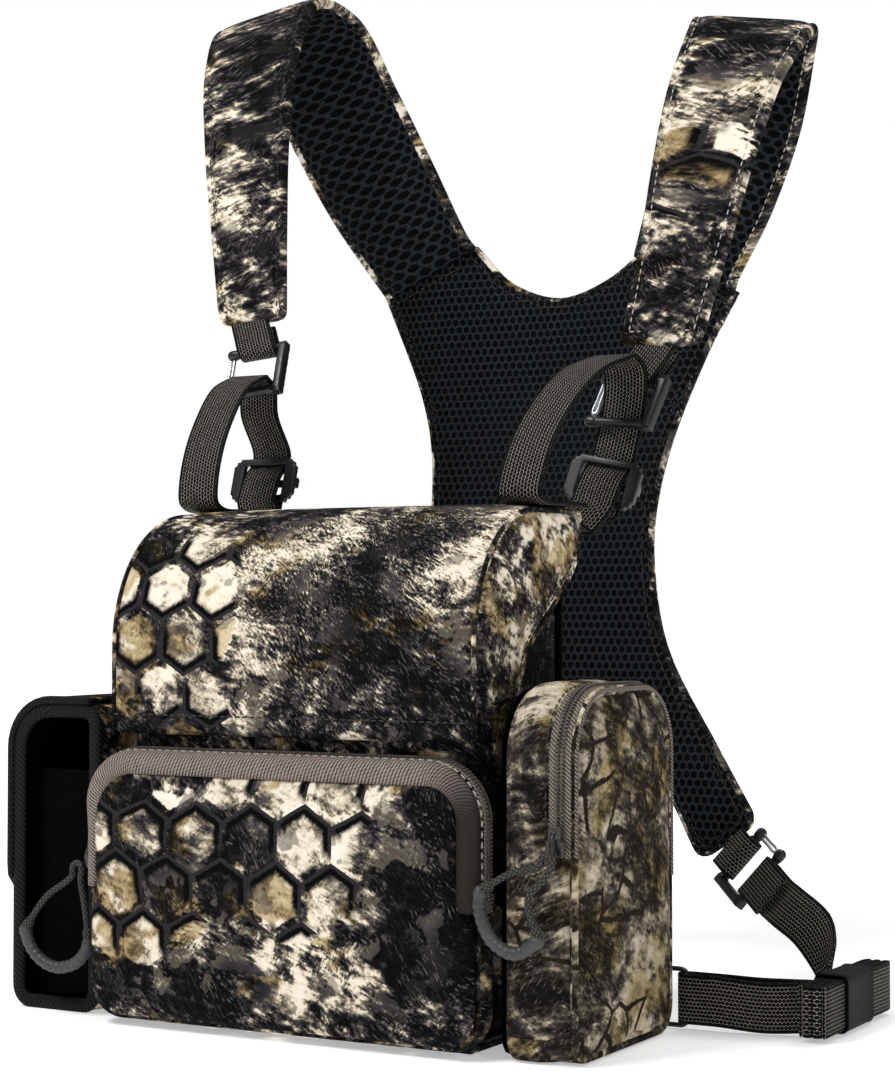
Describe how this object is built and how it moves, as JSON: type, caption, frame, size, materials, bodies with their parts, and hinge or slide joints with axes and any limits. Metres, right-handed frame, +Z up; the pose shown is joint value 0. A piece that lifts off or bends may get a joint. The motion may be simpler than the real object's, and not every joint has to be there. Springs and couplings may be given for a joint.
{
  "type": "binocular harness pack",
  "caption": "Camouflage chest pack with a front-opening lid, zipped front pocket, zipped side pouch, open side pouch and a padded hook-on shoulder harness.",
  "frame": {"origin": "on the floor, under the middle of the main pouch", "axes": "+Z up, -Y to the front of the pack (away from the wearer), +X to the viewer's right when the front is seen"},
  "size_m": [0.382, 0.2664, 0.4658],
  "materials": {
    "camo": "brushed camouflage fabric",
    "lining": "plain black lining",
    "mesh": "black spacer mesh",
    "webbing": "ribbed nylon webbing",
    "binding": "twill binding tape",
    "elastic": "black knitted elastic",
    "plastic": "satin acetal",
    "board": "stiffener sheet",
    "cord": "braided cord",
    "grip": "matte moulded grip",
    "steel": "bright spring wire",
    "gunmetal": "dark plated zinc"
  },
  "bodies": {
    "pack": {"main_base": "camo", "main_shell": "camo", "main_back_panel": "lining", "back_pad": "mesh", "base_stiffener": "board", "front_magnet": "board", "front_pocket_gusset": "camo", "front_zip_cover": "binding", "front_zip_coil": "binding", "front_pocket_panel": "camo", "right_pouch_inner_panel": "lining", "right_pouch_gusset": "camo", "right_zip_tape": "binding", "right_zip_coil": "binding", "right_pouch_outer_panel": "camo", "left_pouch_wrap": "camo", "left_pouch_elastic": "elastic", "left_pouch_binding": "binding", "right_attach_strap": "webbing", "left_attach_strap": "webbing", "left_lower_strap": "webbing", "left_corner_tab": "webbing", "left_anchor_webbing": "webbing", "right_lower_strap": "webbing", "right_corner_tab": "webbing", "right_anchor_webbing": "webbing"},
    "lid": {"lid_shell": "camo", "lid_magnet": "board"},
    "flap": {"left_flap": "camo"},
    "front_slider": {"front_slider": "gunmetal"},
    "front_pull": {"front_pull_cord": "cord", "front_pull_grip": "grip"},
    "right_slider": {"right_slider": "gunmetal"},
    "right_pull": {"right_pull_cord": "cord", "right_pull_grip": "grip"},
    "harness": {"yoke": "mesh", "left_shoulder_strap": "camo", "left_strap_webbing": "webbing", "left_wing_webbing": "webbing", "left_upper_webbing": "webbing", "left_upper_strap": "webbing", "right_shoulder_strap": "camo", "right_strap_webbing": "webbing", "right_wing_webbing": "webbing", "right_upper_webbing": "webbing", "right_upper_strap": "webbing"},
    "left_upper_hook": {"left_upper_hook": "plastic"},
    "left_upper_hook_gate": {"left_upper_hook_gate": "steel"},
    "left_lower_hook": {"left_lower_hook": "plastic"},
    "left_lower_hook_gate": {"left_lower_hook_gate": "steel"},
    "left_triglide": {"left_triglide": "plastic"},
    "left_corner_ring": {"left_corner_ring": "plastic"},
    "left_keeper": {"left_keeper": "elastic"},
    "right_upper_hook": {"right_upper_hook": "plastic"},
    "right_upper_hook_gate": {"right_upper_hook_gate": "steel"},
    "right_lower_hook": {"right_lower_hook": "plastic"},
    "right_lower_hook_gate": {"right_lower_hook_gate": "steel"},
    "right_triglide": {"right_triglide": "plastic"},
    "right_corner_ring": {"right_corner_ring": "plastic"},
    "right_keeper": {"right_keeper": "elastic"}
  },
  "joints": [
    {"name": "lid_hinge", "type": "hinge", "parent": "pack", "child": "lid", "pos_m": [0, 0.046, 0.2052], "axis": [-1, 0, 0], "range_deg": [0, 90], "deforming": ["left_upper_webbing", "right_upper_webbing"]},
    {"name": "flap_hinge", "type": "hinge", "parent": "pack", "child": "flap", "pos_m": [-0.098, 0.0015, 0.1282], "axis": [0, 1, 0], "range_deg": [0, 95]},
    {"name": "front_zip_slide", "type": "slide", "parent": "pack", "child": "front_slider", "axis": [0, 0, 1], "range_m": [0, 0.015]},
    {"name": "front_pull_swing", "type": "hinge", "parent": "front_slider", "child": "front_pull", "pos_m": [-0.0975, -0.0485, 0.0645], "axis": [0, 1, 0], "range_deg": [0, 75]},
    {"name": "right_zip_slide", "type": "slide", "parent": "pack", "child": "right_slider", "axis": [0, 0, 1], "range_m": [0, 0.024]},
    {"name": "right_pull_swing", "type": "hinge", "parent": "right_slider", "child": "right_pull", "pos_m": [0.121, -0.0548, 0.0785], "axis": [-1, 0, 0], "range_deg": [-12, 80]},
    {"name": "harness_swing", "type": "hinge", "parent": "pack", "child": "harness", "pos_m": [0, 0.049, 0.19], "axis": [1, 0, 0], "range_deg": [-10, 5], "deforming": ["left_upper_webbing", "right_upper_webbing", "left_anchor_webbing", "right_anchor_webbing", "left_upper_strap", "right_upper_strap"]},
    {"name": "left_upper_hook_swing", "type": "hinge", "parent": "harness", "child": "left_upper_hook", "pos_m": [-0.09454, 0.07766, 0.28634], "axis": [0.9933, 0.0485, 0.105], "range_deg": [-12, 12], "deforming": ["left_upper_webbing", "left_strap_webbing"]},
    {"name": "left_upper_hook_gate_hinge", "type": "hinge", "parent": "left_upper_hook", "child": "left_upper_hook_gate", "pos_m": [-0.10769, 0.07571, 0.28212], "axis": [0, -0.908, 0.4191], "range_deg": [0, 20], "stiffness_Nm_per_rad": 0.004, "deforming": ["left_upper_webbing", "left_strap_webbing"]},
    {"name": "left_lower_hook_swing", "type": "hinge", "parent": "harness", "child": "left_lower_hook", "pos_m": [-0.1142, 0.1459, 0.0586], "axis": [0.6113, -0.22, -0.7602], "range_deg": [-12, 12], "deforming": ["left_upper_strap", "left_wing_webbing"]},
    {"name": "left_lower_hook_gate_hinge", "type": "hinge", "parent": "left_lower_hook", "child": "left_lower_hook_gate", "pos_m": [-0.12456, 0.14681, 0.0679], "axis": [0.4374, -0.7066, 0.5562], "range_deg": [0, 20], "stiffness_Nm_per_rad": 0.004, "deforming": ["left_upper_strap", "left_wing_webbing"]},
    {"name": "left_triglide_tilt", "type": "hinge", "parent": "harness", "child": "left_triglide", "pos_m": [-0.083, 0.067, 0.225], "axis": [1, 0, 0], "range_deg": [-10, 10], "deforming": ["left_upper_webbing", "left_anchor_webbing"]},
    {"name": "left_corner_ring_swing", "type": "hinge", "parent": "pack", "child": "left_corner_ring", "pos_m": [-0.112, 0.0495, 0.0126], "axis": [0, 0, -1], "range_deg": [-4, 12], "deforming": ["left_lower_strap", "left_corner_tab"]},
    {"name": "left_keeper_slide", "type": "slide", "parent": "pack", "child": "left_keeper", "axis": [0, 1, 0], "range_m": [-0.002, 0.02]},
    {"name": "right_upper_hook_swing", "type": "hinge", "parent": "harness", "child": "right_upper_hook", "pos_m": [0.09439, 0.07996, 0.26413], "axis": [0.9941, -0.0569, -0.0924], "range_deg": [-12, 12], "deforming": ["right_upper_webbing", "right_strap_webbing"]},
    {"name": "right_upper_hook_gate_hinge", "type": "hinge", "parent": "right_upper_hook", "child": "right_upper_hook_gate", "pos_m": [0.08053, 0.07912, 0.26276], "axis": [0, -0.8517, 0.5241], "range_deg": [0, 20], "stiffness_Nm_per_rad": 0.004, "deforming": ["right_upper_webbing", "right_strap_webbing"]},
    {"name": "right_lower_hook_swing", "type": "hinge", "parent": "harness", "child": "right_lower_hook", "pos_m": [0.1142, 0.1459, 0.0586], "axis": [-0.6113, -0.22, -0.7602], "range_deg": [-12, 12], "deforming": ["right_upper_strap", "right_wing_webbing"]},
    {"name": "right_lower_hook_gate_hinge", "type": "hinge", "parent": "right_lower_hook", "child": "right_lower_hook_gate", "pos_m": [0.12456, 0.14681, 0.0679], "axis": [0.4374, 0.7066, -0.5562], "range_deg": [0, 20], "stiffness_Nm_per_rad": 0.004, "deforming": ["right_upper_strap", "right_wing_webbing"]},
    {"name": "right_triglide_tilt", "type": "hinge", "parent": "harness", "child": "right_triglide", "pos_m": [0.086, 0.067, 0.22], "axis": [0.9806, 0, -0.1961], "range_deg": [-10, 10], "deforming": ["right_upper_webbing", "right_anchor_webbing"]},
    {"name": "right_corner_ring_swing", "type": "hinge", "parent": "pack", "child": "right_corner_ring", "pos_m": [0.112, 0.0495, 0.0126], "axis": [0, 0, 1], "range_deg": [-4, 12], "deforming": ["right_lower_strap", "right_corner_tab"]},
    {"name": "right_keeper_slide", "type": "slide", "parent": "pack", "child": "right_keeper", "axis": [0, 1, 0], "range_m": [-0.002, 0.02]}
  ]
}
